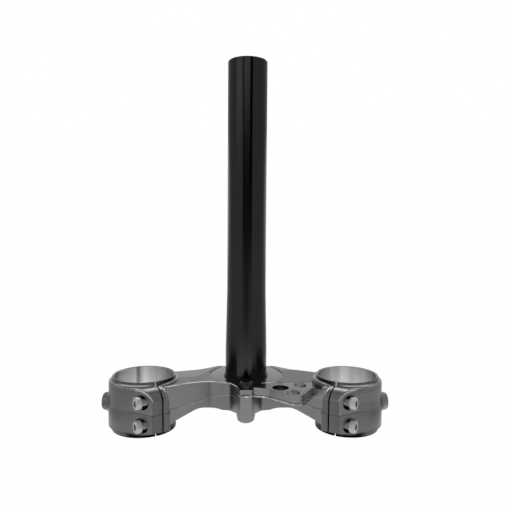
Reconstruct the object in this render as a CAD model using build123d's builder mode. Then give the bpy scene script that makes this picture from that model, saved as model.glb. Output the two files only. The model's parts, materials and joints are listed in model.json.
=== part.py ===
from build123d import *
import math
import os

# Bottom triple clamp of a small motorcycle, with its pressed-in steering stem.
# Frame: +Z up along the stem, origin on the stem axis at the lower bearing seat plane,
# X across the two fork legs, the front of the motorcycle towards -Y. Millimetres.

# Steering stem
stem_tube_d = 28.0
stem_bore_d = 22.0
stem_seat_d = 30.0
stem_seat_length = 17.0
stem_taper_length = 44.0
stem_collar_d = 32.0
stem_collar_height = 1.2
stem_flange_d = 37.0
stem_flange_thickness = 2.2
stem_top_z = 225.0
stem_thread_d = 18.4
stem_thread_depth = 25.0
stem_end_chamfer = 0.6

# Fork legs and the clamp rings around them
fork_spacing = 141.3
fork_offset = 20.0
fork_bore_d = 40.0
clamp_wall = 4.0
clamp_bottom_z = -27.1
lip_wall = 1.4
lip_top_z = 6.0
lip_chamfer = 0.35
lower_lip_wall = 1.8
lower_lip_z = -30.5
shoulder_z = 3.7
shoulder_groove = 0.8
shoulder_turns = (0, 30, 60, 90)

# Forging parting line, where the lower die's half steps in or out a little
parting_z = -12.3
parting_hub_z = -8.0
parting_arm_z = -13.4
parting_step = 0.35

# Pinch ears and their slit
slit_angle = 31.3
slit_width = 1.1
ear_reach = 33.2
ear_outer_thickness = 6.6
ear_inner_thickness = 4.8
ear_lower_base = 8.0
ear_bottom_rise = 3.2
ear_corner_round = 1.2
ear_wall_bite = 0.2
ear_top_drop = 0.15
ear_top_radius = 12.5
ear_top_round = 2.6
ear_outer_round = 1.5

# Pinch bolts, four alike
bolt_d = 5.0
bolt_length = 15.0
bolt_head_d = 8.3
bolt_head_height = 4.0
bolt_key_size = 4.0
bolt_key_depth = 2.2
bolt_head_chamfer = 0.5
bolt_radius_from_bore = 25.5
bolt_upper_z = -4.9
bolt_pitch = 15.2
bolt_pocket_d = 9.3
bolt_pocket_floor = 4.6
bolt_backed_out = 7.4
bolt_clearance = 0.5
thread_clearance = 0.1
tapped_depth = 5.5

# Outer lugs
lug_d = 14.2
lug_end_d = 11.4
lug_reach = 28.1
lug_end_chamfer = 0.8
lug_root = 1.4
lug_z = -13.0

# Arms and hub
hub_back_y = 23.0
hub_corner_x = 21.0
hub_corner_round = 6.0
hub_bottom_z = -19.5
hub_front_y = -19.0
hub_front_rise = 0.1
arm_back_x = 34.0
arm_back_y = 10.0
arm_back_round = 18.0
arm_back_sweep = 22.2
arm_front_length = 43.0
arm_front_round = 9.0
arm_flat_x = 20.0
arm_ring_x = 36.0
arm_ring_z = 2.2
arm_top_round = 50.0
arm_fall_y = -14.0
arm_fall = 0.055
arm_edge_round = 0.7
arch_hub_x = 16.0
arch_peak_x = 32.3
arch_peak_z = -16.0
arch_peak_round = 12.0
arch_clamp_z = -30.9
spot_face_d = 53.6
press_clearance = 0.02

# Front boss with its screw
boss_y = -28.0
boss_tip_d = 11.8
boss_tip_chamfer = 1.2
boss_step_z = -20.6
boss_bottom_z = -24.1
boss_root_x = 10.6
boss_root_y = -21.8
boss_root_round = 4.0
boss_head_d = 12.1
boss_front_y = -32.5
boss_screw_seat_d = 8.8
boss_screw_seat_depth = 1.4
boss_screw_length = 16.0
boss_screw_head_height = 5.0

# Side plate on the right arm
plate_thickness = 5.3
plate_ledge = 0.9
plate_ledge_height = 1.3
plate_hole_d = 11.2
plate_hole_x = 23.3
plate_hole_y = -31.7
countersink_d = 11.0
countersink_bore_d = 5.5
countersink_a_x = 37.4
countersink_a_y = -25.4
countersink_b_x = 30.9
countersink_b_y = -41.0
countersink_a_depth = 14.0
plate_start_x = 4.8
plate_start_y = -30.7
plate_bend_x = 14.2
plate_bend_y = -33.7
plate_bend_round = 12.0
plate_tip_x = 34.0
plate_tip_y = -52.0
plate_tip_round = 5.2
plate_side_x = 48.4
plate_side_y = -25.0
plate_back_x = 39.5
plate_back_y = -20.0
plate_runout_y = 83.0
plate_runout_front_y = -36.0
plate_runout_x = 52.0

# Worked-out sizes
bore_r = fork_bore_d / 2
clamp_r = bore_r + clamp_wall
upper_wall_r = clamp_r - parting_step
lip_r = bore_r + lip_wall
lower_lip_r = bore_r + lower_lip_wall
shoulder_r = lip_r + shoulder_groove
shoulder_round = upper_wall_r - shoulder_r
boss_d = boss_head_d + 2 * parting_step
fork_x = fork_spacing / 2
slit_rad = math.radians(slit_angle)
slit_dir = Vector(math.sin(slit_rad), -math.cos(slit_rad), 0)
inward_dir = Vector(math.cos(slit_rad), math.sin(slit_rad), 0)
left_bore = Vector(-fork_x, -fork_offset, 0)
bore_plane = Plane(origin=left_bore, x_dir=(1, 0, 0), z_dir=(0, -1, 0))
bore_axis = Axis(left_bore, (0, 0, 1))
bolt_heights = (bolt_upper_z, bolt_upper_z - bolt_pitch)
far = fork_spacing
match_gap = 0.05
above = stem_top_z


def clamp_point(along_slit, inward):
    """Plan position given by distances from the left bore, along the slit and inward."""
    spot = left_bore + slit_dir * along_slit + inward_dir * inward
    return (spot.X, spot.Y)


def touch_point(center, radius, start, side):
    """Point where the line from a start point touches a circle, on the side +1 or -1 of its center."""
    run = (start[0] - center[0], start[1] - center[1])
    turn = math.atan2(run[1], run[0]) + side * math.acos(radius / math.hypot(*run))
    return (center[0] + radius * math.cos(turn), center[1] + radius * math.sin(turn))


def shoulder_point(turn):
    """Point of the ring's rounded shoulder, in its profile, from the wall at 0 to the crest at 90 degrees."""
    run = shoulder_round * math.cos(math.radians(turn))
    rise = shoulder_round * math.sin(math.radians(turn))
    return (shoulder_r + run, shoulder_z - shoulder_round + rise)


# Turned clamp ring, with its lips, rounded shoulder and parting step, solid until it is bored
with BuildPart() as ring:
    with BuildSketch(bore_plane) as ring_profile:
        with BuildLine():
            Polyline(
                (shoulder_r, shoulder_z),
                (lip_r, shoulder_z + shoulder_groove),
                (lip_r, lip_top_z - lip_chamfer),
                (lip_r - lip_chamfer, lip_top_z),
                (0, lip_top_z),
                (0, lower_lip_z),
                (lower_lip_r, lower_lip_z),
                (lower_lip_r, clamp_bottom_z),
                (clamp_r, clamp_bottom_z),
                (clamp_r, parting_z),
                (upper_wall_r, parting_z + parting_step),
                *(shoulder_point(turn) for turn in shoulder_turns),
            )
        make_face()
    revolve(axis=bore_axis)


# Pinch ears, one block before the slit is cut. Its top rounds down from the ring's shoulder,
# straight across the slit, and its underside rises towards the front.
ear_outer_corner = clamp_point(ear_reach, -ear_outer_thickness)
ear_inner_corner = clamp_point(ear_reach, ear_inner_thickness)
ear_tangent = touch_point((left_bore.X, left_bore.Y), upper_wall_r - ear_wall_bite, ear_outer_corner, -1)
ear_top_z = shoulder_z - ear_top_drop
slit_side = Plane(origin=left_bore, x_dir=slit_dir, z_dir=-inward_dir)
ear_slope = ear_bottom_rise / (ear_reach - clamp_r)
front_axis = Axis(left_bore, slit_dir)


def top_edges(block, spot, normal):
    """Upper edges of a block on the upright wall through a spot."""
    wall = [edge for edge in block.edges() if abs((edge.center() - spot).dot(normal)) < match_gap]
    return [edge for edge in wall if edge.center().Z > bolt_upper_z and abs(edge.tangent_at(0.5).Z) < 0.99]


def ear_block(root, low, high, outset):
    """Ear between two heights, whose inner side runs back to a root point inside the ring or arm."""
    with BuildPart() as block:
        with BuildSketch(Plane.XY.offset(low)):
            with BuildLine():
                Polyline(
                    clamp_point(0, 0),
                    ear_tangent,
                    ear_outer_corner,
                    ear_inner_corner,
                    root,
                    close=True,
                )
            make_face()
            if outset:
                offset(amount=outset, kind=Kind.INTERSECTION)
        extrude(amount=high - low)
        with BuildSketch(slit_side):
            with BuildLine():
                CenterArc((shoulder_r, ear_top_z - ear_top_radius), ear_top_radius, 0, 90)
                Polyline(
                    (shoulder_r, ear_top_z),
                    (shoulder_r, above),
                    (far, above),
                    (far, ear_top_z - ear_top_radius),
                    (shoulder_r + ear_top_radius, ear_top_z - ear_top_radius),
                )
            make_face()
            with BuildLine():
                Polyline(
                    (clamp_r, clamp_bottom_z),
                    (2 * clamp_r, clamp_bottom_z + clamp_r * ear_slope),
                    (2 * clamp_r, 2 * clamp_bottom_z),
                    (clamp_r, 2 * clamp_bottom_z),
                    close=True,
                )
            make_face()
        extrude(amount=far, both=True, mode=Mode.SUBTRACT)
    return block


ear_upper = ear_block(clamp_point(0, ear_inner_thickness), parting_z, ear_top_z, 0)
ear_lower = ear_block(clamp_point(clamp_r, ear_lower_base), clamp_bottom_z, parting_z, parting_step)
ear_outer_wall = Vector(*ear_outer_corner) - Vector(*ear_tangent)
with ear_upper:
    fillet(top_edges(ear_upper, Vector(*ear_inner_corner), inward_dir), ear_top_round)
    fillet(
        top_edges(ear_upper, Vector(*ear_outer_corner), ear_outer_wall.normalized().cross(Vector(0, 0, 1))),
        ear_outer_round,
    )
for block in (ear_upper, ear_lower):
    with block:
        upright = block.edges().filter_by(Axis.Z)
        fillet(upright.filter_by_position(front_axis, shoulder_r + ear_corner_round, far), ear_corner_round)


# Arm and half the hub, from the back round to the front boss
arm_back_run = fork_x - arm_back_x
arm_back_drop = arm_back_run * math.tan(math.radians(arm_back_sweep))
arm_back_corner = (-arm_back_x, arm_back_y)
hub_corner = (-hub_corner_x, hub_back_y)
arm_front_end = clamp_point(clamp_r, arm_front_length)
boss_root = (-boss_root_x, boss_root_y)
boss_neck = touch_point((0, boss_y), boss_head_d / 2, boss_root, 1)
with BuildSketch() as arm_plan:
    with BuildLine():
        Polyline(
            (0, hub_back_y),
            hub_corner,
            arm_back_corner,
            (-fork_x, arm_back_y - arm_back_drop),
            (-fork_x, -fork_offset),
            clamp_point(clamp_r, 0),
            arm_front_end,
            boss_root,
            boss_neck,
            (0, boss_y),
            close=True,
        )
    make_face()
    for corner, radius in (
        (hub_corner, hub_corner_round),
        (arm_back_corner, arm_back_round),
        (arm_front_end, arm_front_round),
        (boss_root, boss_root_round),
    ):
        fillet(arm_plan.vertices().sort_by_distance((*corner, 0))[:1], radius)

with BuildPart() as above_arm:
    with BuildSketch(Plane.XZ):
        with BuildLine():
            FilletPolyline(
                (far, 0),
                (-arm_flat_x, 0),
                (-arm_ring_x, arm_ring_z),
                (-far, arm_ring_z),
                radius=arm_top_round,
            )
            Polyline((-far, arm_ring_z), (-far, above), (far, above), (far, 0))
        make_face()
    extrude(amount=far, both=True)

with BuildPart() as above_parting:
    with BuildSketch(Plane.XZ):
        with BuildLine():
            Polyline(
                (far, parting_hub_z),
                (-boss_root_x, parting_hub_z),
                (clamp_r - fork_x, parting_arm_z),
                (-far, parting_arm_z),
                (-far, above),
                (far, above),
                close=True,
            )
        make_face()
    extrude(amount=far, both=True)


def is_front_edge(edge):
    """Whether an edge of the arm lies along the front of its top."""
    spot = edge.center()
    return spot.Z > -match_gap and spot.Y < -stem_collar_d / 2 and abs(edge.tangent_at(0.5).X) > match_gap


with BuildPart() as arm:
    extrude(arm_plan.sketch.moved(Location((0, 0, clamp_bottom_z))), amount=shoulder_z - clamp_bottom_z)
    add(above_arm.part, mode=Mode.SUBTRACT)
    with BuildSketch(Plane.YZ.offset(-far)):
        with BuildLine():
            Polyline(
                (arm_fall_y, arm_ring_z),
                (arm_fall_y + fork_x, arm_ring_z - fork_x * arm_fall),
                (arm_fall_y + fork_x, above),
                (arm_fall_y, above),
                close=True,
            )
        make_face()
    extrude(amount=far - arm_flat_x, mode=Mode.SUBTRACT)
    fillet([edge for edge in arm.edges() if is_front_edge(edge)], arm_edge_round)

with BuildPart() as arm_lower:
    with BuildSketch(Plane.XY.offset(clamp_bottom_z)) as lower_plan:
        add(arm_plan.sketch.moved(Location((0, 0, clamp_bottom_z))))
        offset(amount=parting_step)
    extrude(amount=shoulder_z - clamp_bottom_z)
    add(above_parting.part, mode=Mode.SUBTRACT)
    with BuildSketch(Plane.YZ):
        Rectangle(far, far)
    extrude(amount=far, mode=Mode.SUBTRACT)

# Arched space under the arm, clear of the ring's lower lip
with BuildPart() as arch_cut:
    with BuildSketch(Plane.XZ):
        with BuildLine():
            FilletPolyline(
                (-arch_hub_x, hub_bottom_z),
                (-arch_peak_x, arch_peak_z),
                (-fork_x, arch_clamp_z),
                radius=arch_peak_round,
            )
            Polyline(
                (-fork_x, arch_clamp_z),
                (-fork_x, -above),
                (far, -above),
                (far, hub_bottom_z),
                (-arch_hub_x, hub_bottom_z),
            )
        make_face()
    extrude(amount=far, both=True)
    with BuildSketch(Plane(left_bore).offset(-above)):
        Circle(lower_lip_r)
    extrude(amount=above, mode=Mode.SUBTRACT)
    with BuildSketch(Plane.YZ.offset(-arch_peak_x)):
        with BuildLine():
            Polyline(
                (hub_front_y, hub_bottom_z),
                (hub_front_y - far, hub_bottom_z + far * hub_front_rise),
                (hub_front_y - far, 2 * hub_bottom_z),
                (hub_front_y, 2 * hub_bottom_z),
                close=True,
            )
        make_face()
    extrude(amount=arch_peak_x)

# Slope that takes the right arm's top down to the plate, up to the ring
with BuildPart() as runout:
    with BuildSketch(Plane.YZ.offset(arm_flat_x)):
        with BuildLine():
            Polyline(
                (plate_runout_y, shoulder_z),
                (plate_back_y, 0),
                (plate_runout_front_y, 0),
                (plate_runout_front_y, shoulder_z),
                close=True,
            )
        make_face()
    extrude(amount=plate_runout_x - arm_flat_x)
    with BuildSketch(Plane.XY):
        with Locations((fork_x, -fork_offset)):
            Circle(clamp_r + parting_step)
    extrude(amount=above, mode=Mode.SUBTRACT)

with BuildPart() as body:
    add(ring.part)
    add(arm.part)
    add(arm_lower.part)
    add(arch_cut.part, mode=Mode.SUBTRACT)
    add(ear_upper.part)
    add(ear_lower.part)

    # Outer lug
    with BuildSketch(Plane(origin=(-fork_x, -fork_offset, lug_z), x_dir=(-1, 0, 0), z_dir=(0, 1, 0))):
        with BuildLine():
            Polyline(
                (bore_r, 0),
                (bore_r, lug_d / 2 + lug_root),
                (clamp_r - lug_root, lug_d / 2 + lug_root),
                (clamp_r + lug_root / 2, lug_d / 2 - lug_root / 2),
                (lug_reach - lug_end_chamfer, lug_end_d / 2),
                (lug_reach, lug_end_d / 2 - lug_end_chamfer),
                (lug_reach, 0),
                close=True,
            )
        make_face()
    revolve(axis=Axis((-fork_x, -fork_offset, lug_z), (1, 0, 0)))

    # Fork bore, slit, bolt pockets and tapped holes
    with BuildSketch(bore_plane):
        with BuildLine():
            Polyline(
                (0, lower_lip_z),
                (bore_r, lower_lip_z),
                (bore_r, lip_top_z - lip_chamfer),
                (bore_r + lip_chamfer, lip_top_z),
                (0, lip_top_z),
                close=True,
            )
        make_face()
    revolve(axis=bore_axis, mode=Mode.SUBTRACT)
    slit_plane = Plane(origin=left_bore, x_dir=slit_dir, z_dir=(0, 0, 1))
    with BuildSketch(slit_plane.offset(lower_lip_z)):
        Rectangle(clamp_r * 2, slit_width, align=(Align.MIN, Align.CENTER))
    extrude(amount=lip_top_z - lower_lip_z, mode=Mode.SUBTRACT)
    for height in bolt_heights:
        bolt_plane = Plane(
            origin=(*clamp_point(bolt_radius_from_bore, 0), height), x_dir=slit_dir, z_dir=-inward_dir
        )
        with BuildSketch(bolt_plane):
            Circle((bolt_d + bolt_clearance) / 2)
        extrude(amount=bolt_pocket_floor, mode=Mode.SUBTRACT)
        with BuildSketch(bolt_plane.offset(bolt_pocket_floor)):
            Circle(bolt_pocket_d / 2)
        extrude(amount=clamp_r, mode=Mode.SUBTRACT)
        with BuildSketch(bolt_plane):
            Circle((bolt_d + thread_clearance) / 2)
        extrude(amount=-tapped_depth, mode=Mode.SUBTRACT)

    # The right half is the left one mirrored
    mirror(about=Plane.YZ)

    # Front boss: a turned column with a stepped tip, and a narrower head under the screw
    with BuildSketch(Plane.XZ.offset(-boss_y)):
        with BuildLine():
            Polyline(
                (0, boss_bottom_z),
                (boss_tip_d / 2 - boss_tip_chamfer, boss_bottom_z),
                (boss_tip_d / 2, boss_bottom_z + boss_tip_chamfer),
                (boss_tip_d / 2, boss_step_z),
                (boss_d / 2, boss_step_z),
                (boss_d / 2, -plate_thickness),
                (0, -plate_thickness),
                close=True,
            )
        make_face()
    revolve(axis=Axis((0, boss_y, 0), (0, 0, 1)))
    with BuildSketch(Plane.XY.offset(-plate_thickness)):
        with Locations((0, boss_y)):
            Circle(boss_head_d / 2)
        with Locations((0, boss_front_y)):
            Rectangle(boss_d, boss_d, align=(Align.CENTER, Align.MIN), mode=Mode.INTERSECT)
    extrude(amount=plate_thickness)

    # Side plate, with a narrow ledge round its lower edge
    with BuildSketch(Plane.XY.offset(-plate_thickness)) as plate_plan:
        with BuildLine():
            Polyline(
                (0, boss_y + boss_d / 2),
                (plate_start_x, plate_start_y),
                (plate_bend_x, plate_bend_y),
                (plate_tip_x, plate_tip_y),
                (plate_side_x, plate_side_y),
                (plate_back_x, plate_back_y),
                (boss_root_x, boss_root_y),
                close=True,
            )
        make_face()
        for corner, radius in (
            ((plate_bend_x, plate_bend_y), plate_bend_round),
            ((plate_tip_x, plate_tip_y), plate_tip_round),
        ):
            fillet(plate_plan.vertices().sort_by_distance((*corner, -plate_thickness))[:1], radius)
    extrude(amount=plate_thickness)
    ledge_bottom = -plate_thickness - plate_ledge_height
    with BuildSketch(Plane.XY.offset(ledge_bottom)):
        add(plate_plan.sketch.moved(Location((0, 0, -plate_ledge_height))))
        offset(amount=plate_ledge)
    extrude(amount=plate_ledge_height)

    # The right arm's top falls away to the plate
    add(runout.part, mode=Mode.SUBTRACT)

    # Machined spot face round the stem
    with BuildSketch():
        Circle(spot_face_d / 2)
    extrude(amount=above, mode=Mode.SUBTRACT)

    # Holes in the plate, stem bore with its flange seat, and the boss screw's hole and open seat
    with Locations((plate_hole_x, plate_hole_y, 0)):
        Hole(plate_hole_d / 2, depth=2 * plate_thickness)
    with Locations((countersink_b_x, countersink_b_y, 0)):
        CounterSinkHole(
            countersink_bore_d / 2, countersink_d / 2, depth=2 * plate_thickness, counter_sink_angle=90
        )
    with Locations((countersink_a_x, countersink_a_y, 0)):
        CounterSinkHole(
            countersink_bore_d / 2, countersink_d / 2, depth=countersink_a_depth, counter_sink_angle=90
        )
    with BuildSketch(Plane.XY.offset(hub_bottom_z)):
        Circle(stem_collar_d / 2 + press_clearance)
    extrude(amount=above, mode=Mode.SUBTRACT)
    with BuildSketch(Plane.XY.offset(hub_bottom_z)):
        Circle(stem_flange_d / 2 + press_clearance)
    extrude(amount=stem_flange_thickness, mode=Mode.SUBTRACT)
    with BuildSketch(Plane.XY.offset(-boss_screw_seat_depth)):
        with Locations((0, boss_y)):
            Circle(boss_screw_seat_d / 2)
            Rectangle(boss_screw_seat_d, boss_d, align=(Align.CENTER, Align.MAX))
    extrude(amount=boss_screw_seat_depth, mode=Mode.SUBTRACT)
    with Locations((0, boss_y, 0)):
        Hole((bolt_d + thread_clearance) / 2, depth=boss_screw_seat_depth + boss_screw_length)

# Steering stem, a turned and bored tube pressed in from below until its flange sits flush
stem_taper_z = stem_collar_height + stem_seat_length
flange_top_z = hub_bottom_z + stem_flange_thickness
with BuildPart() as stem:
    with BuildSketch(Plane.XZ) as stem_profile:
        with BuildLine():
            Polyline(
                (stem_bore_d / 2, hub_bottom_z),
                (stem_flange_d / 2, hub_bottom_z),
                (stem_flange_d / 2, flange_top_z),
                (stem_collar_d / 2, flange_top_z),
                (stem_collar_d / 2, stem_collar_height),
                (stem_seat_d / 2, stem_collar_height),
                (stem_seat_d / 2, stem_taper_z),
                (stem_tube_d / 2, stem_taper_z + stem_taper_length),
                (stem_tube_d / 2, stem_top_z - stem_end_chamfer),
                (stem_tube_d / 2 - stem_end_chamfer, stem_top_z),
                (stem_thread_d / 2 + stem_end_chamfer, stem_top_z),
                (stem_thread_d / 2, stem_top_z - stem_end_chamfer),
                (stem_thread_d / 2, stem_top_z - stem_thread_depth),
                (stem_bore_d / 2, stem_top_z - stem_thread_depth),
                close=True,
            )
        make_face()
    revolve(axis=Axis.Z)


def cap_screw(seat, length, head_height):
    """Socket-head cap screw whose head stands on the seat plane, with its shank below."""
    rim_r = bolt_head_d / 2 - bolt_head_chamfer
    with BuildPart() as screw:
        with BuildSketch(Plane(origin=seat.origin, x_dir=seat.x_dir, z_dir=-seat.y_dir)):
            with BuildLine():
                Polyline(
                    (0, -length),
                    (bolt_d / 2, -length),
                    (bolt_d / 2, 0),
                    (bolt_head_d / 2, 0),
                    (bolt_head_d / 2, head_height - bolt_head_chamfer),
                    (rim_r, head_height),
                    (0, head_height),
                    close=True,
                )
            make_face()
        revolve(axis=Axis(seat.origin, seat.z_dir))
        with BuildSketch(seat.offset(head_height)):
            RegularPolygon(bolt_key_size / 2, 6, major_radius=False)
        extrude(amount=-bolt_key_depth, mode=Mode.SUBTRACT)
    return screw


screws = {}
for row, height in zip(("upper", "lower"), bolt_heights):
    seat_spot = clamp_point(bolt_radius_from_bore, -bolt_pocket_floor - bolt_backed_out)
    left_seat = Plane(origin=(*seat_spot, height), x_dir=slit_dir, z_dir=-inward_dir)
    right_seat = Plane(
        origin=(-seat_spot[0], seat_spot[1], height),
        x_dir=(-slit_dir.X, slit_dir.Y, 0),
        z_dir=(inward_dir.X, -inward_dir.Y, 0),
    )
    screws["pinch_bolt_left_" + row] = cap_screw(left_seat, bolt_length, bolt_head_height)
    screws["pinch_bolt_right_" + row] = cap_screw(right_seat, bolt_length, bolt_head_height)
boss_seat = Plane(origin=(0, boss_y, -boss_screw_seat_depth))
screws["boss_screw"] = cap_screw(boss_seat, boss_screw_length, boss_screw_head_height)

os.makedirs("parts", exist_ok=True)
body.part.label = "triple_clamp_body"
export_step(body.part, "parts/triple_clamp_body.step")
stem.part.label = "steering_stem"
export_step(stem.part, "parts/steering_stem.step")
for name, screw in screws.items():
    screw.part.label = name
    export_step(screw.part, "parts/" + name + ".step")
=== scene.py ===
import json
import math
from types import SimpleNamespace

import bpy
from mathutils import Matrix, Vector


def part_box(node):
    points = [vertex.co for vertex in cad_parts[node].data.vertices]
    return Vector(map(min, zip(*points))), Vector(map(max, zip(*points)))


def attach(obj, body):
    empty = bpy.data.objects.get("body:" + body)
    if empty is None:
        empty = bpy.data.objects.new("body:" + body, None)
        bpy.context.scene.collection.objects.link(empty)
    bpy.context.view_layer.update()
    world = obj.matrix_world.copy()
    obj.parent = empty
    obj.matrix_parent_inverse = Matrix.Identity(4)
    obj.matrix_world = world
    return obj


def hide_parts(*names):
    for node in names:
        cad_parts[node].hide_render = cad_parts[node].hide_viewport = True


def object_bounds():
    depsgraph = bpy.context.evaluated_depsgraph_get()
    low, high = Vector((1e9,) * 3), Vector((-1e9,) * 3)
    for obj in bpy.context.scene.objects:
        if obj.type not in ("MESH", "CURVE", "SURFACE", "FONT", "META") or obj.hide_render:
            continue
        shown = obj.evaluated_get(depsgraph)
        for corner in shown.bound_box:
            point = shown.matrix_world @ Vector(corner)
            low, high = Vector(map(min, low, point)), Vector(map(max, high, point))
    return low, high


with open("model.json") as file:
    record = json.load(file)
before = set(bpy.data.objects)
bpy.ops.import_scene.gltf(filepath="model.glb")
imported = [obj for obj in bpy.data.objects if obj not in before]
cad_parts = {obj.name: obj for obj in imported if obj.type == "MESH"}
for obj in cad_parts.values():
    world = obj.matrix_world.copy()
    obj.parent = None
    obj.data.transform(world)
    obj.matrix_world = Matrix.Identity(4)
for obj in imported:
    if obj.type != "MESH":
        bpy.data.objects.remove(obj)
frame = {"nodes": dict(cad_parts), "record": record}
cad_low, cad_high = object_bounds()

MM = 0.001
nodes = frame["nodes"]
mounts = {mount["name"]: mount for mount in frame["record"]["mounts"]}
floor_z = cad_low[2]
stem_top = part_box("steering_stem")[1][2]

# Fork bores, the hole and countersinks of the side plate, and the spot face round the stem
fork_left = Vector(mounts["fork_clamp_left"]["pos_m"])
fork_axis = (abs(fork_left.x), fork_left.y)
bore_r = mounts["fork_clamp_left"]["dims"]["r_mm"] * MM
plate_hole = mounts["plate_hole"]["pos_m"]
plate_hole_r = mounts["plate_hole"]["dims"]["r_mm"] * MM
BORE_SKIN, HOLE_SKIN, HOLE_TOP = 0.15 * MM, 0.2 * MM, -0.1 * MM
COUNTERSINKS = ((37.4 * MM, -25.4 * MM), (30.9 * MM, -41.0 * MM))
COUNTERSINK_R, COUNTERSINK_FOOT = 5.6 * MM, -3.0 * MM
SPOT_FACE_R, SPOT_WALL_LOW, SPOT_WALL_HIGH = 26.8 * MM, 0.05 * MM, 3.0 * MM

# Pinch ears and bolt pockets, measured along the slit and across it from the bore's axis
SLIT_ANGLE = math.radians(31.3)
EAR_ROOT, EAR_FRONT, EAR_OUTER, EAR_INNER = 21.2 * MM, 32.8 * MM, -20.0 * MM, 5.6 * MM
EAR_TOP_LOW = -8.0 * MM
BOLT_REACH, BOLT_MIDDLE_Z, BOLT_PITCH = 25.5 * MM, -12.5 * MM, 15.2 * MM
POCKET_R, POCKET_FLOOR, POCKET_SKIN = 4.65 * MM, -4.6 * MM, 0.1 * MM

# Fork rings, and the painted shade round their feet
RING_X, RING_R, RING_SKIN = 45.0 * MM, 24.0 * MM, 0.5 * MM
ARM_TOP, SHOULDER_TOP, GROOVE_TOP = 2.24 * MM, 3.71 * MM, 4.52 * MM
PARTING_Z, PARTING_BAND = -12.3 * MM, 1.0 * MM
FOOT_DARK, FOOT_GREY, FOOT_SLOPE = 3.3 * MM, 5.2 * MM, 0.12
BORE_LINE_X = -78.2 * MM

# Arms, front boss and side plate
FLAT_BAND, EDGE_LOW = 0.06 * MM, -1.0 * MM
LEVEL_LOW, LEVEL_HIGH = -2.0 * MM, ARM_TOP + 0.1 * MM
LEDGE_LOW, LEDGE_HIGH = -14.2 * MM, -4.0 * MM
BOSS_ROOT_X, PARTING_HUB_Z, PARTING_SLOPE = 10.6 * MM, -8.0 * MM, -0.15
SEAM_LOW, SEAM_HIGH = -0.55 * MM, 0.05 * MM
FLASH_LOW, FLASH_HIGH, FLASH_Y = -5.9 * MM, -5.25 * MM, -26.0 * MM
FLASH_LEFT, FLASH_RIGHT = -7.0 * MM, 46.0 * MM
JOINT_LEFT, JOINT_RIGHT = 8.0 * MM, 42.0 * MM
PLATE_X, PLATE_Y, PLATE_FOOT, PLATE_SIDE_X = 26.0 * MM, -20.0 * MM, -6.7 * MM, 30.0 * MM
FRONT_X = -8.5 * MM

# How far a face turns upwards (1 is level), or to the right for the plate's side
UP_FLAT, UP_LEVEL, UP_WALL, UP_LIP_WALL, UP_LEDGE, UP_EAR = 0.995, 0.97, 0.9, 0.6, 0.45, 0.05
SLOPE_LOW, SLOPE_HIGH = 0.12, 0.975
PLATE_SIDE_TURN = 0.66

# Soft limits: from, to, and the values there where they aren't 0 and 1
FOOT_OUTER = (4.0 * MM, 11.0 * MM, 1.0, 0.3)
FOOT_INNER = (-20.0 * MM, -12.0 * MM, 0.85, 1.0)
LIT_OUTER = (8.0 * MM, 16.0 * MM, 1.0, 0.0)
LIT_INNER = (-10.0 * MM, -4.0 * MM)
RECESS_FADE = (-15.0 * MM, -8.0 * MM, 1.0, 0.0)
FACING_FADE = (3.0 * MM, 13.0 * MM, 1.0, 0.0)
BORE_LINE_FADE = (0.2 * MM, 2.2 * MM, 1.0, 0.0)
PLATE_SIDE_FADE = (37.0 * MM, 45.0 * MM)
LUG_FADE = (94.6 * MM, 95.6 * MM)
EAR_EDGE_SIDE = (0.15, 0.45)
EAR_EDGE_LOW = (0.05, 0.25)
EAR_EDGE_HIGH = (0.9, 0.99, 1.0, 0.0)
EAR_ROUNDING = (0.3, 0.43, 1.0, 0.0)
CLOUD = (0.3, 0.7)
STREAK = (0.35, 0.65)
CHIP = (0.4, 0.65)

# Stretch of the tool marks along z, and the shares of the painted highlight and of the tool marks in the
# bores' colour
TURNED = (1.0, 1.0, 0.03)
DRAWN = (1.0, 1.0, 0.01)
SHEEN_FACING, SHEEN_STREAKS = 0.45, 0.55


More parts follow.
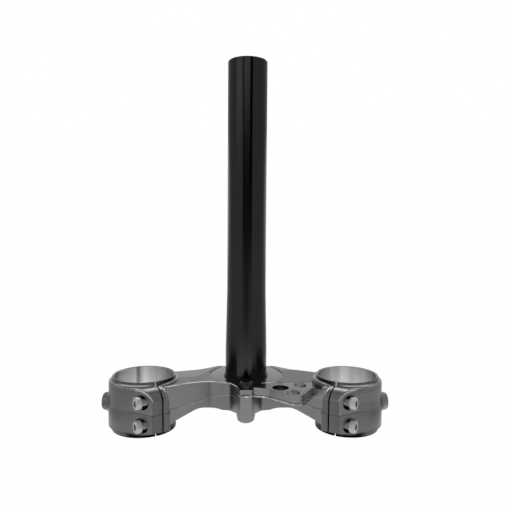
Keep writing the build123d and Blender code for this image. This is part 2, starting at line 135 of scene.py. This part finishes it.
class Nodes:
    """A material's node tree, with short calls to add and link its nodes."""

    def __init__(self, name):
        self.material = bpy.data.materials.new(name)
        self.material.use_nodes = True
        self.tree = self.material.node_tree
        self.tree.nodes.clear()

    def add(self, kind, **settings):
        node = self.tree.nodes.new("ShaderNode" + kind)
        for key, value in settings.items():
            setattr(node, key, value)
        return node

    def link(self, source, target):
        if isinstance(source, (int, float, tuple)):
            target.default_value = source
        else:
            self.tree.links.new(source, target)

    def math(self, operation, *values):
        node = self.add("Math", operation=operation)
        for value, socket in zip(values, node.inputs):
            self.link(value, socket)
        return node.outputs[0]

    def chain(self, operation, first, *others):
        for other in others:
            first = self.math(operation, first, other)
        return first

    def times(self, *values):
        return self.chain("MULTIPLY", *values)

    def plus(self, *values):
        return self.chain("ADD", *values)

    def minus(self, *values):
        return self.chain("SUBTRACT", *values)

    def either(self, *masks):
        return self.chain("MAXIMUM", *masks)

    def size(self, value):
        return self.math("ABSOLUTE", value)

    def above(self, value, limit):
        return self.math("GREATER_THAN", value, limit)

    def below(self, value, limit):
        return self.math("LESS_THAN", value, limit)

    def between(self, value, low, high):
        return self.times(self.above(value, low), self.below(value, high))

    def within(self, spot, centre, radius):
        """Inside of a circle, from two coordinates."""
        across, along = self.minus(spot[0], centre[0]), self.minus(spot[1], centre[1])
        square = self.plus(self.times(across, across), self.times(along, along))
        return self.below(square, radius * radius)

    def ramp(self, value, low, high, to_low=0.0, to_high=1.0):
        node = self.add("MapRange", interpolation_type="SMOOTHSTEP")
        for source, socket in zip((value, low, high, to_low, to_high), node.inputs):
            self.link(source, socket)
        return node.outputs[0]

    def blend(self, factor, first, second):
        node = self.add("Mix", data_type="RGBA")
        self.link(factor, node.inputs["Factor"])
        for source, socket in ((first, node.inputs[6]), (second, node.inputs[7])):
            self.link((*source, 1.0) if isinstance(source, tuple) else source, socket)
        return node.outputs[2]

    def where(self):
        """Position in the part's own frame."""
        return self.add("TexCoord").outputs["Object"]

    def normal(self):
        """Three coordinates of the direction that a face looks in."""
        return self.split(self.add("NewGeometry").outputs["True Normal"])

    def split(self, vector):
        node = self.add("SeparateXYZ")
        self.link(vector, node.inputs[0])
        return node.outputs

    def noise(self, where, scale, detail=3.0, stretch=(1.0, 1.0, 1.0)):
        mapping = self.add("Mapping")
        self.link(where, mapping.inputs["Vector"])
        mapping.inputs["Scale"].default_value = stretch
        node = self.add("TexNoise")
        self.link(mapping.outputs[0], node.inputs["Vector"])
        node.inputs["Scale"].default_value = scale
        node.inputs["Detail"].default_value = detail
        return node.outputs["Fac"]

    def surface(self, sockets):
        """Material of a principled shader, from what goes into its sockets."""
        shader = self.add("BsdfPrincipled")
        for name, source in sockets.items():
            self.link(source, shader.inputs[name])
        return self.finish(shader.outputs[0])

    def finish(self, surface):
        output = self.add("OutputMaterial")
        self.link(surface, output.inputs["Surface"])
        return self.material


def survey(n):
    """Coordinates and directions on the clamp, which the places of its finishes and of its painted
    highlights and shade follow.
    """
    at = SimpleNamespace()
    at.where = n.where()
    at.x, at.y, at.z = n.split(at.where)
    at.normal = n.normal()
    at.up = at.normal[2]
    at.width = n.size(at.x)
    at.outward = n.minus(at.width, fork_axis[0])
    back = n.minus(at.y, fork_axis[1])
    sine, cosine = math.sin(SLIT_ANGLE), math.cos(SLIT_ANGLE)
    at.reach = n.plus(n.times(at.outward, -sine), n.times(back, -cosine))
    at.inward = n.plus(n.times(at.outward, -cosine), n.times(back, sine))
    mirrored = n.times(at.normal[0], n.math("SIGN", at.x))
    at.sideways = n.plus(n.times(mirrored, -cosine), n.times(at.normal[1], sine))
    at.sloping = n.between(at.up, SLOPE_LOW, SLOPE_HIGH)
    at.by_ear = n.times(n.above(at.reach, EAR_ROOT), n.between(at.inward, EAR_OUTER, EAR_INNER))
    at.off_ear = n.minus(1.0, at.by_ear)
    return at


def mark_holes(n, at):
    """Machined flats, fork bores, plate holes, the bolt pockets with painted shade, and the wall of the spot
    face with a painted highlight.
    """
    at.machined = n.times(n.above(at.up, UP_FLAT), n.between(at.z, -FLAT_BAND, FLAT_BAND))
    at.bored = n.within((at.width, at.y), fork_axis, bore_r + BORE_SKIN)
    in_hole = n.within((at.x, at.y), plate_hole, plate_hole_r + HOLE_SKIN)
    at.in_hole = n.times(in_hole, n.below(at.z, HOLE_TOP))
    sunk = n.either(*(n.within((at.x, at.y), centre, COUNTERSINK_R) for centre in COUNTERSINKS))
    at.sunk = n.times(sunk, n.between(at.z, COUNTERSINK_FOOT, HOLE_TOP))
    from_row = n.minus(n.size(n.minus(at.z, BOLT_MIDDLE_Z)), BOLT_PITCH / 2)
    # Painted shade in the bolt pockets
    pocket = n.within((at.reach, from_row), (BOLT_REACH, 0.0), POCKET_R + POCKET_SKIN)
    at.pocket = n.times(pocket, n.below(at.inward, POCKET_FLOOR + POCKET_SKIN))
    # Wall of the spot face: painted highlight
    spot_wall = n.within((at.x, at.y), (0.0, 0.0), SPOT_FACE_R + HOLE_SKIN)
    spot_wall = n.times(spot_wall, n.below(at.up, UP_WALL))
    at.spot_wall = n.times(spot_wall, n.between(at.z, SPOT_WALL_LOW, SPOT_WALL_HIGH))


def mark_ears(n, at):
    """Tops and fronts of the pinch ears, which get painted shade, and the rounded edges along their tops,
    which get a painted highlight.
    """
    # Tops and fronts of the ears: painted shade
    top = n.times(at.by_ear, n.above(at.up, UP_EAR), n.above(at.z, EAR_TOP_LOW))
    at.ear = n.either(top, n.times(at.by_ear, n.above(at.reach, EAR_FRONT)))
    # Rounded edges along the ears' tops: painted highlight
    edge = n.times(at.by_ear, n.ramp(n.size(at.sideways), *EAR_EDGE_SIDE))
    at.ear_edge = n.times(edge, n.ramp(at.up, *EAR_EDGE_LOW), n.ramp(at.up, *EAR_EDGE_HIGH))


def mark_rings(n, at):
    """Shoulder, groove and lip of each fork ring with their painted highlights and painted dark reflection,
    its parting line with a painted highlight, the painted shade low down round it, and the painted highlight
    down its bore.
    """
    # Painted highlight on each ring's rounded shoulder
    at.shoulder = n.times(at.sloping, n.between(at.z, ARM_TOP, SHOULDER_TOP), at.off_ear)
    groove = n.times(at.sloping, n.between(at.z, SHOULDER_TOP, GROOVE_TOP))
    # Painted highlight on the groove, fading out towards the ring's outer and inner sides
    lit = n.times(n.ramp(at.outward, *LIT_OUTER), n.ramp(at.outward, *LIT_INNER))
    at.lit_groove = n.times(groove, lit)
    at.lip = n.above(at.z, GROOVE_TOP)
    # Painted dark reflection of the stem on the groove and lip wall, on the side towards the stem
    recess = n.either(groove, n.times(at.lip, n.below(at.up, UP_LIP_WALL)))
    at.recess = n.times(recess, n.ramp(at.outward, *RECESS_FADE))
    ring = n.within((at.width, at.y), fork_axis, RING_R + RING_SKIN)
    ring = n.either(ring, at.by_ear, n.above(at.outward, 0.0))
    at.lower_ring = n.times(ring, n.below(at.z, PARTING_Z))
    # Upturned parting ledge of the outer rings, which gets a painted highlight
    line = n.between(at.z, PARTING_Z - PARTING_BAND, PARTING_Z + PARTING_BAND)
    at.ring_line = n.times(n.above(at.width, RING_X), n.above(at.up, UP_LEDGE), line)
    # Painted shade round the feet of the rings, rising towards the ear fronts and weaker on the outer side
    rise = n.ramp(at.reach, EAR_ROOT, EAR_FRONT, 0.0, FOOT_SLOPE * (EAR_FRONT - EAR_ROOT))
    foot = n.ramp(n.minus(at.z, floor_z, rise), FOOT_DARK, FOOT_GREY, 1.0, 0.0)
    at.foot = n.times(foot, n.ramp(at.outward, *FOOT_OUTER), n.ramp(at.outward, *FOOT_INNER))
    # Painted highlight down the middle of each bore, fading out towards its sides
    at.facing = n.ramp(n.size(at.outward), *FACING_FADE)
    at.bore_line = n.ramp(n.size(n.minus(at.x, BORE_LINE_X)), *BORE_LINE_FADE)
    at.lug = n.ramp(at.x, *LUG_FADE)


def mark_arms(n, at):
    """Level tops, edges and parting seam of the arms, the front boss, and the side plate with its ledge,
    with painted highlights on the edges, seam, ledge and plate side, and painted light on the fronts.
    """
    at.level = n.times(n.above(at.up, UP_LEVEL), n.between(at.z, LEVEL_LOW, LEVEL_HIGH))
    # Top edges of the arms: painted highlight
    at.edge = n.times(at.sloping, n.between(at.z, EDGE_LOW, ARM_TOP), at.off_ear)
    # Painted highlight on the arms' top edge along the plate
    at.joint = n.times(at.edge, n.between(at.x, JOINT_LEFT, JOINT_RIGHT))
    ledge = n.times(n.above(at.up, UP_LEDGE), n.between(at.z, LEDGE_LOW, LEDGE_HIGH))
    at.ledge = n.times(ledge, n.below(at.width, RING_X))
    # Parting seam along the arms: painted highlight
    start = PARTING_HUB_Z - BOSS_ROOT_X * PARTING_SLOPE
    part_line = n.math("MULTIPLY_ADD", at.width, PARTING_SLOPE, start)
    seam = n.between(n.minus(at.z, part_line), SEAM_LOW, SEAM_HIGH)
    at.seam = n.times(seam, n.between(at.width, BOSS_ROOT_X, RING_X))
    flash = n.times(n.between(at.z, FLASH_LOW, FLASH_HIGH), n.below(at.y, FLASH_Y))
    at.flash = n.times(flash, n.between(at.x, FLASH_LEFT, FLASH_RIGHT))
    upper = n.between(at.z, PLATE_FOOT, 0.0)
    # Fronts of the boss and plate: painted light
    front = n.times(n.above(at.x, FRONT_X), n.below(at.y, FLASH_Y))
    at.front = n.times(front, n.either(n.below(at.x, -FRONT_X), upper))
    at.plate = n.times(n.above(at.x, PLATE_X), n.below(at.y, PLATE_Y))
    # Side of the plate that turns to the right: painted highlight
    side = n.times(n.above(at.normal[0], PLATE_SIDE_TURN), upper)
    at.plate_side = n.times(side, at.plate, n.between(at.x, PLATE_SIDE_X, RING_X))


def clamp_colour(n, at):
    """Blasted ground colour of the clamp, with each other finish, painted highlight, painted reflection and
    painted shade laid over it in turn.
    """
    patches = n.ramp(n.noise(at.where, scale=60.0), *CLOUD)
    streaks = n.ramp(n.noise(at.where, scale=160.0, stretch=TURNED), *STREAK)
    chips = n.ramp(n.noise(at.where, scale=300.0), *CHIP)
    cuts = n.ramp(n.noise(at.where, scale=420.0, detail=2.0, stretch=TURNED), *STREAK)
    blasted = n.blend(patches, (0.180, 0.182, 0.177), (0.200, 0.202, 0.197))
    cut = n.blend(patches, (0.155, 0.156, 0.152), (0.172, 0.173, 0.169))
    cut = n.blend(at.plate, cut, (0.27, 0.27, 0.265))
    # Bore colour: turned tool marks and a painted highlight down the middle of each bore
    sheen = n.plus(n.times(at.facing, SHEEN_FACING), n.times(streaks, SHEEN_STREAKS))
    bare = n.blend(sheen, (0.70, 0.70, 0.70), (1.0, 1.0, 0.99))
    bare = n.blend(at.bore_line, bare, (0.38, 0.38, 0.38))
    # Painted shade on the ears' tops and fronts, with streaks, lightened again on their sloping rounds
    milled = n.blend(streaks, (0.104, 0.105, 0.102), (0.124, 0.125, 0.122))
    rounding = n.ramp(n.size(n.minus(at.up, UP_LEDGE)), *EAR_ROUNDING)
    milled = n.blend(rounding, milled, (0.200, 0.201, 0.197))
    # Painted highlight along the ledges and the parting line of the boss and plate, broken up by noise
    trimmed = n.blend(chips, (0.30, 0.30, 0.295), (0.80, 0.80, 0.79))
    cone = n.blend(cuts, (0.17, 0.17, 0.165), (0.44, 0.44, 0.43))
    # Painted highlight on the side of the plate that turns to the right, fading out to the right
    side = n.blend(n.ramp(at.x, *PLATE_SIDE_FADE), (0.58, 0.58, 0.57), (0.26, 0.26, 0.255))
    colour = blasted
    for mask, finish in (
        # Painted light: lighter fronts of the boss and plate
        (at.front, (0.225, 0.226, 0.222)),
        # Painted highlight on the side of the plate that turns to the right
        (at.plate_side, side),
        # Painted highlight along the arms' parting seam
        (at.seam, (0.27, 0.27, 0.265)),
        (at.lower_ring, (0.145, 0.146, 0.143)),
        (at.lug, (0.270, 0.271, 0.266)),
        (at.lip, (0.120, 0.121, 0.118)),
        (at.level, (0.138, 0.139, 0.136)),
        # Painted shade on the ears' tops and fronts
        (at.ear, milled),
        # Painted highlight on the arms' top edges
        (at.edge, (0.50, 0.50, 0.49)),
        # Painted highlight on the groove
        (at.lit_groove, (0.75, 0.75, 0.74)),
        # Painted dark reflection of the stem on the groove and lip wall
        (at.recess, (0.03, 0.03, 0.03)),
        # Painted highlight on the rings' shoulders
        (at.shoulder, (0.28, 0.28, 0.275)),
        # Painted highlight on the rounded edges along the ears' tops
        (at.ear_edge, (0.60, 0.60, 0.59)),
        # Painted highlight on the rings' upturned parting ledge
        (at.ring_line, (0.26, 0.26, 0.255)),
        (at.machined, cut),
        # Painted highlight along the ledges and the parting line of the boss and plate
        (n.either(at.ledge, at.flash), trimmed),
        # Painted highlight on the spot face's wall and on the arms' top edge along the plate
        (n.either(at.spot_wall, at.joint), (0.80, 0.80, 0.79)),
        # Painted shade round the rings' feet
        (at.foot, (0.02, 0.02, 0.02)),
        # Painted shade in the bolt pockets
        (at.pocket, (0.012, 0.012, 0.012)),
        (at.in_hole, (0.05, 0.05, 0.05)),
        (at.sunk, cone),
        (at.bored, bare),
    ):
        colour = n.blend(mask, colour, finish)
    return colour


# Roughness of blasted and machined faces, what the bores and countersinks take off it, and the grain
ROUGH_BLASTED, ROUGH_MACHINED = 0.32, 0.13
SMOOTH_BORE, SMOOTH_CONE = 0.06, 0.16
GRAIN_DEPTH, GRAIN_BLASTED, GRAIN_MACHINED = 0.03 * MM, 0.35, 0.05


def clamp_grey():
    """Blasted and anodised grey forging with machined flats and bare bores, and with painted highlights,
    painted reflections and painted shade, among them the painted shade round its feet.
    """
    n = Nodes("clamp_grey")
    at = survey(n)
    for mark in (mark_holes, mark_ears, mark_rings, mark_arms):
        mark(n, at)
    rough = n.ramp(at.machined, 0.0, 1.0, ROUGH_BLASTED, ROUGH_MACHINED)
    rough = n.minus(rough, n.times(at.bored, SMOOTH_BORE), n.times(at.sunk, SMOOTH_CONE))
    # Painted highlights on the ledges, spot face wall and plate joint, and the painted shade round the feet,
    # are not metal
    dull = n.either(at.ledge, at.foot, at.spot_wall, at.joint)
    grain = n.add("Bump")
    n.link(GRAIN_DEPTH, grain.inputs["Distance"])
    n.link(n.ramp(at.machined, 0.0, 1.0, GRAIN_BLASTED, GRAIN_MACHINED), grain.inputs["Strength"])
    n.link(n.noise(at.where, scale=2600.0, detail=2.0), grain.inputs["Height"])
    return n.surface({
        "Base Color": clamp_colour(n, at),
        "Metallic": n.minus(1.0, dull),
        # No specular where shade is painted round the feet, so they stay black
        "Specular IOR Level": n.ramp(at.foot, 0.0, 1.0, 0.5, 0.0),
        "Roughness": rough,
        "Normal": grain.outputs[0],
    })


# Chamfer round the stem's top: the height it lies within, and how far it turns upwards
STEM_RIM, RIM_LOW, RIM_HIGH = 2.0 * MM, 0.1, 0.95


def stem_black():
    """Turned tube, satin black anodised, with a painted dark reflection round its top: a near-black matt
    edge.
    """
    n = Nodes("stem_black")
    where = n.where()
    z, up = n.split(where)[2], n.normal()[2]
    cloud = n.ramp(n.noise(where, scale=40.0), *CLOUD)
    lines = n.noise(where, scale=240.0, detail=1.0, stretch=DRAWN)
    gloss = n.blend(cloud, (0.039, 0.039, 0.041), (0.042, 0.042, 0.044))
    # Painted dark reflection round the stem's top: the chamfer is near-black and not metal
    rim = n.times(n.between(up, RIM_LOW, RIM_HIGH), n.above(z, stem_top - STEM_RIM))
    return n.surface({
        "Base Color": n.blend(rim, gloss, (0.004, 0.004, 0.004)),
        "Metallic": n.minus(1.0, rim),
        "Roughness": n.ramp(lines, *CLOUD, 0.14, 0.17),
        "Specular IOR Level": 0.0,
        "Specular Tint": (0.92, 0.92, 0.94, 1.0),
        "Anisotropic": 0.9,
        "Anisotropic Rotation": 0.25,
        "Tangent": n.add("Tangent", direction_type="RADIAL", axis="Z").outputs[0],
    })


# Blue of the zinc beside its red and green, and the fine speckle of the screws
ZINC_BLUE, SPECKLE = 0.98, 900.0


def bolt_zinc(name, low, high):
    """Dull zinc plated steel, between two levels of brightness."""
    n = Nodes(name)
    cloud = n.noise(n.where(), scale=SPECKLE)
    dark, light = ((level, level, ZINC_BLUE * level) for level in (low, high))
    return n.surface({
        "Base Color": n.blend(n.ramp(cloud, *CLOUD), dark, light),
        "Metallic": 0.5,
        "Roughness": n.ramp(cloud, *CLOUD, 0.42, 0.56),
    })


def screw_black():
    """Black oxide steel."""
    n = Nodes("screw_black")
    cloud = n.noise(n.where(), scale=SPECKLE)
    return n.surface({
        "Base Color": n.blend(n.ramp(cloud, *CLOUD), (0.004, 0.004, 0.004), (0.008, 0.008, 0.008)),
        "Roughness": n.ramp(cloud, *CLOUD, 0.28, 0.4),
    })


def dress(piece, *materials):
    """Give a piece these materials and no others."""
    piece.data.materials.clear()
    for material in materials:
        piece.data.materials.append(material)


dress(nodes["triple_clamp_body"], clamp_grey())
dress(nodes["steering_stem"], stem_black())

# Materials of a screw's head, thread and socket; the thread and socket are darker, for painted shade
dark_screw = (screw_black(),) * 3
zinc_screw = (
    bolt_zinc("bolt_zinc", low=0.54, high=0.70),
    bolt_zinc("bolt_zinc_thread", low=0.42, high=0.54),
    bolt_zinc("bolt_zinc_socket", low=0.28, high=0.40),
)
THREAD_MATERIAL, SOCKET_MATERIAL = 1, 2

# Cap screws with a knurled head, a hexagon socket and a thread, in place of the plain solids
HEAD_HEIGHT, BOSS_HEAD_HEIGHT = 4.0 * MM, 5.0 * MM
SHANK_R = 2.5 * MM
KEY_SIZE, KEY_DEPTH, KEY_FLARE = 4.0 * MM, 2.2 * MM, 1.1
THREAD_PITCH, THREAD_DEPTH = 0.8 * MM, 0.35 * MM
KNURL_TEETH, KNURL_DEPTH = 36, 0.09 * MM
HEAD_SEGMENTS, SHANK_SEGMENTS, THREAD_STEPS = 144, 48, 6
SHARP_ANGLE = math.radians(40)

# Shares of the head's height at which its collar ends, its neck runs and its knurl begins
COLLAR_TOP, NECK_LOW, NECK_HIGH, KNURL_LOW = 0.16, 0.19, 0.25, 0.28
HEAD_EDGE, SOCKET_TIP = 0.06, 0.1
SOCKET_ROW = 11


def knurled(radius):
    """Radius round the knurled band of a head."""
    return lambda turn: radius - KNURL_DEPTH * (0.5 + 0.5 * math.cos(KNURL_TEETH * turn))


def hexagon(size):
    """Radius round a hexagon of that size across flats."""
    return lambda turn: size / 2 / math.cos((turn + math.pi / 6) % (math.pi / 3) - math.pi / 6)


def threaded(height):
    """Radius round a thread at one height."""
    def radius(turn):
        phase = (height / THREAD_PITCH + turn / (2 * math.pi)) % 1.0
        return SHANK_R - THREAD_DEPTH * (1.0 - abs(2.0 * phase - 1.0))
    return radius


def lathe(rings, segments):
    """Points and faces of rings (height, radius or radius by turn) joined in order, closed at both ends."""
    points, faces = [], []
    for height, radius in rings:
        for index in range(segments):
            turn = 2 * math.pi * index / segments
            reach = radius(turn) if callable(radius) else radius
            points.append(Vector((reach * math.cos(turn), reach * math.sin(turn), height)))
    for row in range(len(rings) - 1):
        low, high = row * segments, (row + 1) * segments
        for index in range(segments):
            beside = (index + 1) % segments
            faces.append((low + index, low + beside, high + beside, high + index))
    faces.append(tuple(reversed(range(segments))))
    faces.append(tuple(range((len(rings) - 1) * segments, len(rings) * segments)))
    return points, faces


def head_rings(head_r, height):
    """Head from its underside up round the rim and down into the socket, which starts at SOCKET_ROW."""
    edge = HEAD_EDGE * head_r
    return [
        (0.0, head_r - 2 * edge),
        (edge, head_r - 0.4 * edge),
        (COLLAR_TOP * height, head_r - 0.2 * edge),
        (NECK_LOW * height, head_r - 1.2 * edge),
        (NECK_HIGH * height, head_r - 1.2 * edge),
        (KNURL_LOW * height, knurled(head_r)),
        (height - 2.6 * edge, knurled(head_r)),
        (height - 2.1 * edge, head_r - 0.5 * edge),
        (height - 0.6 * edge, head_r - 1.6 * edge),
        (height, head_r - 2.4 * edge),
        (height, hexagon(KEY_SIZE * KEY_FLARE)),
        (height - 0.5 * edge, hexagon(KEY_SIZE)),
        (height - KEY_DEPTH, hexagon(KEY_SIZE)),
        (height - KEY_DEPTH - edge, SOCKET_TIP * head_r),
    ]


def shank_rings(length):
    """Threaded shank from its tip up to the head."""
    count = round(length / THREAD_PITCH * THREAD_STEPS)
    heights = [-length + length * step / count for step in range(count + 1)]
    return [(heights[0], SHANK_R - 2 * THREAD_DEPTH)] + [(height, threaded(height)) for height in heights]


def screw_seat(node, axis):
    """Direction of a plain screw, a point of its middle line, its span along that, and its head's radius."""
    along = Vector(axis).normalized()
    side = along.orthogonal().normalized()
    third = along.cross(side)
    spans = []
    for way in (along, side, third):
        reach = [point.co.dot(way) for point in node.data.vertices]
        spans.append((min(reach), max(reach)))
    middle = side * sum(spans[1]) / 2 + third * sum(spans[2]) / 2
    return along, middle, spans[0], (spans[1][1] - spans[1][0]) / 2


def detailed_screw(name, axis, head_height, materials):
    """Detailed screw in the place of a plain one, with materials for its head, its thread and its socket."""
    along, middle, (tip, top), head_r = screw_seat(nodes[name], axis)
    seat = top - head_height
    points, faces = lathe(head_rings(head_r, head_height), HEAD_SEGMENTS)
    shank_points, shank_faces = lathe(shank_rings(seat - tip), SHANK_SEGMENTS)
    head_faces = len(faces)
    faces += [tuple(len(points) + index for index in face) for face in shank_faces]
    turned = along.to_track_quat("Z", "Y").to_matrix().to_4x4()
    place = Matrix.Translation(middle + along * seat) @ turned
    mesh = bpy.data.meshes.new(name + "_detailed")
    mesh.from_pydata([place @ point for point in points + shank_points], [], faces)
    mesh.shade_smooth()
    mesh.set_sharp_from_angle(angle=SHARP_ANGLE)
    screw = bpy.data.objects.new(name + "_detailed", mesh)
    bpy.context.scene.collection.objects.link(screw)
    dress(screw, *materials)
    for face in mesh.polygons[head_faces:]:
        face.material_index = THREAD_MATERIAL
    for face in mesh.polygons[SOCKET_ROW * HEAD_SEGMENTS:(SOCKET_ROW + 2) * HEAD_SEGMENTS]:
        face.material_index = SOCKET_MATERIAL
    mesh.polygons[head_faces - 1].material_index = SOCKET_MATERIAL
    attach(screw, "root")
    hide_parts(name)


for side, way in (("left", -1), ("right", 1)):
    outward = (way * math.cos(SLIT_ANGLE), -math.sin(SLIT_ANGLE), 0.0)
    for row in ("upper", "lower"):
        detailed_screw("pinch_bolt_" + side + "_" + row, outward, HEAD_HEIGHT, zinc_screw)
detailed_screw("boss_screw", (0.0, 0.0, 1.0), BOSS_HEAD_HEIGHT, dark_screw)

# Studio: a white floor and backdrop, and cards that show only in the part's gloss
PAPER_WHITE, FLOOR_GREY, CARD_BLACK = 0.99, 0.9, 0.01
FLOOR_SIZE = 3.0
BACKDROP_Y, BACKDROP_TOP = 1.4, 0.42
CARD_LIFT, SIDE_CARD_X = 0.0005, 0.115


def even(level):
    """Neutral colour of that brightness."""
    return (level, level, level, 1.0)


def white_stage():
    """Floor material that shows as white and keeps a soft shadow."""
    n = Nodes("stage_white")
    path = n.add("LightPath")
    seen = n.times(path.outputs["Is Camera Ray"], PAPER_WHITE)
    seen = n.either(seen, path.outputs["Is Glossy Ray"], path.outputs["Is Transmission Ray"])
    matte = n.add("BsdfDiffuse")
    n.link(even(FLOOR_GREY), matte.inputs["Color"])
    mix = n.add("MixShader")
    n.link(seen, mix.inputs[0])
    n.link(matte.outputs[0], mix.inputs[1])
    n.link(n.add("Emission").outputs[0], mix.inputs[2])
    return n.finish(mix.outputs[0])


def plain_card(name, kind, level):
    """Material of a card with an even colour: matt, or glowing."""
    n = Nodes(name)
    shader = n.add(kind)
    n.link(even(level), shader.inputs["Color"])
    return n.finish(shader.outputs[0])


def lying(z, *spots):
    """Corners of a level panel, from its spots in plan."""
    return [(x, y, z) for x, y in spots]


def standing(start, end, low, high):
    """Corners of an upright panel between two spots in plan."""
    return [(*start, low), (*end, low), (*end, high), (*start, high)]


def card(name, corners, material):
    """Flat stage panel from its four corners."""
    mesh = bpy.data.meshes.new(name)
    mesh.from_pydata([Vector(corner) for corner in corners], [], [(0, 1, 2, 3)])
    panel = bpy.data.objects.new(name, mesh)
    bpy.context.scene.collection.objects.link(panel)
    dress(panel, material)
    return panel


def strip(left, right):
    """Plan of a strip over the floor's whole depth."""
    return (left, -FLOOR_SIZE), (right, -FLOOR_SIZE), (right, FLOOR_SIZE), (left, FLOOR_SIZE)


stage_white = white_stage()
card("floor", lying(floor_z, *strip(-FLOOR_SIZE, FLOOR_SIZE)), stage_white)
backdrop = standing((-FLOOR_SIZE, BACKDROP_Y), (FLOOR_SIZE, BACKDROP_Y), floor_z, BACKDROP_TOP)
card("backdrop", backdrop, stage_white)

flag_dark = plain_card("stage_dark", "BsdfDiffuse", CARD_BLACK)
flag_grey = plain_card("stage_grey", "Emission", 0.6)
flag_pale = plain_card("stage_pale", "Emission", 1.0)
card_z = floor_z + CARD_LIFT
flags = [
    card("flag_front", standing((-0.46, -1.0), (0.56, -1.0), low=0.0, high=1.1), flag_dark),
    card("flag_high", standing((-0.36, -0.98), (0.24, -0.98), low=0.42, high=1.1), flag_pale),
    card("flag_left", standing((-1.0, -0.42), (-0.56, -0.86), low=0.36, high=0.9), flag_pale),
    card("flag_floor", lying(card_z, (-0.5, -1.0), (0.52, -1.0), (0.2, -0.36), (-0.2, -0.36)), flag_dark),
]
for side in (-1, 1):
    beside = lying(card_z, *strip(side * SIDE_CARD_X, side * FLOOR_SIZE))
    flags.append(card("flag_side", beside, flag_grey))
for flag in flags:
    flag.visible_camera = False
    flag.visible_shadow = False
    flag.visible_diffuse = False


def lamp(name, place, aim, size, energy):
    """Soft rectangular lamp at a place, turned towards a point."""
    light = bpy.data.lights.new(name, "AREA")
    light.shape = "RECTANGLE"
    light.size, light.size_y = size
    light.energy = energy
    holder = bpy.data.objects.new(name, light)
    bpy.context.scene.collection.objects.link(holder)
    holder.location = place
    holder.rotation_euler = (Vector(aim) - Vector(place)).to_track_quat("-Z", "Y").to_euler()


lamp("back_strip", place=(0.0, 0.8, 0.95), aim=(0.0, 0.0, 0.0), size=(1.2, 0.12), energy=8.0)

# Even light from all round, behind which the camera sees white
ROOM_LEVEL = 0.45
world = bpy.data.worlds.new("studio")
bpy.context.scene.world = world
world.use_nodes = True
sky = world.node_tree
room = sky.nodes["Background"]
room.inputs["Color"].default_value = even(ROOM_LEVEL)
paper = sky.nodes.new("ShaderNodeBackground")
paper.inputs["Color"].default_value = even(1.0)
choice = sky.nodes.new("ShaderNodeMixShader")
sky.links.new(sky.nodes.new("ShaderNodeLightPath").outputs["Is Camera Ray"], choice.inputs[0])
sky.links.new(room.outputs[0], choice.inputs[1])
sky.links.new(paper.outputs[0], choice.inputs[2])
sky.links.new(choice.outputs[0], sky.nodes["World Output"].inputs["Surface"])

# Camera, fitted to the photograph's perspective
CAMERA_PLACE = Vector((-1.9862, -379.2852, 109.7113)) * MM
CAMERA_YAW, CAMERA_PITCH, CAMERA_ROLL = 0.0231, 0.0595, 0.0075
FOCAL_PIXELS, FRAME_PIXELS, SENSOR = 524.2138, 512, 36.0
CLIP_START = 0.01


def aim_camera():
    """Camera at its place, turned by its yaw, pitch and roll."""
    up = Vector((0, 0, 1))
    ahead = Vector((math.sin(CAMERA_YAW), math.cos(CAMERA_YAW), 0))
    right = Vector((math.cos(CAMERA_YAW), -math.sin(CAMERA_YAW), 0))
    view = ahead * math.cos(CAMERA_PITCH) - up * math.sin(CAMERA_PITCH)
    rise = up * math.cos(CAMERA_PITCH) + ahead * math.sin(CAMERA_PITCH)
    side = right * math.cos(CAMERA_ROLL) + rise * math.sin(CAMERA_ROLL)
    rise = rise * math.cos(CAMERA_ROLL) - right * math.sin(CAMERA_ROLL)
    camera = bpy.data.cameras.new("camera")
    camera.sensor_width = SENSOR
    camera.lens = FOCAL_PIXELS / FRAME_PIXELS * SENSOR
    camera.clip_start = CLIP_START
    holder = bpy.data.objects.new("camera", camera)
    bpy.context.scene.collection.objects.link(holder)
    place = Matrix((side, rise, -view)).transposed().to_4x4()
    place.translation = CAMERA_PLACE
    holder.matrix_world = place
    bpy.context.scene.camera = holder


aim_camera()
bpy.context.scene.view_settings.view_transform = "Standard"
